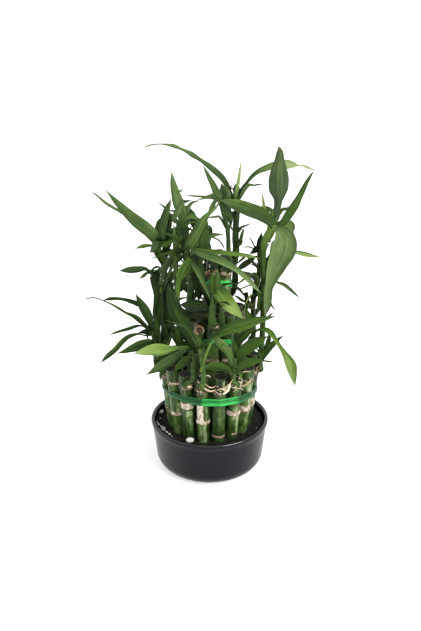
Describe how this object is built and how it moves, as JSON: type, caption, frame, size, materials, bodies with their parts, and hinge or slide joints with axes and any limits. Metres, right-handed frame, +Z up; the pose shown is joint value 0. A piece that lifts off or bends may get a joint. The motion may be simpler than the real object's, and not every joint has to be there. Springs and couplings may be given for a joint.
{
  "type": "potted lucky bamboo tower",
  "caption": "Tiered bundle of cut green canes tied with ribbon, with slender leafy shoots, standing in soil in a round black bowl.",
  "frame": {"origin": "middle of the flat underside of the bowl, on the surface that the bowl stands on", "axes": "+Z up along the bowl, +X to the right and -Y towards the viewer as in the picture"},
  "size_m": [0.21, 0.1588, 0.3001],
  "materials": {
    "bowl": "satin black",
    "soil": "dark damp potting grit",
    "cane": "smooth green bark with tan node rings",
    "ribbon": "shiny green ribbon",
    "pebble": "dull white stone",
    "leaf": "satin green leaf"
  },
  "bodies": {
    "root": {"bowl": "bowl", "soil_bed": "soil", "cane_outer_01": "cane", "cane_outer_02": "cane", "cane_outer_03": "cane", "cane_outer_04": "cane", "cane_outer_05": "cane", "cane_outer_06": "cane", "cane_outer_07": "cane", "cane_outer_08": "cane", "cane_outer_09": "cane", "cane_outer_10": "cane", "cane_outer_11": "cane", "cane_outer_12": "cane", "cane_outer_13": "cane", "cane_outer_14": "cane", "cane_outer_15": "cane", "cane_outer_16": "cane", "cane_middle_01": "cane", "cane_middle_02": "cane", "cane_middle_03": "cane", "cane_middle_04": "cane", "cane_middle_05": "cane", "cane_middle_06": "cane", "cane_middle_07": "cane", "cane_middle_08": "cane", "cane_middle_09": "cane", "cane_inner_01": "cane", "cane_inner_02": "cane", "cane_inner_03": "cane", "cane_inner_04": "cane", "ribbon_outer": "ribbon", "ribbon_middle": "ribbon", "ribbon_inner": "ribbon", "pebble_white": "pebble", "pebble_left": "pebble", "pebble_frontLeft": "pebble", "shoot_rightTall": "leaf", "shoot_rightMiddle": "leaf", "shoot_topLeft": "leaf", "shoot_topRight": "leaf", "shoot_centreLeft": "leaf", "shoot_upperLeft": "leaf", "shoot_farLeft": "leaf", "shoot_leftCrown": "leaf", "shoot_leftLow": "leaf", "shoot_frontLeft": "leaf", "shoot_frontMiddle": "leaf", "shoot_frontRight": "leaf", "shoot_rightLow": "leaf", "shoot_middleFront": "leaf", "shoot_middleLeft": "leaf", "shoot_backRight": "leaf", "shoot_backMiddle": "leaf", "shoot_backLeft": "leaf", "shoot_backFarLeft": "leaf", "shoot_innerRight": "leaf", "shoot_innerBack": "leaf", "shoot_topBack": "leaf"}
  },
  "joints": []
}
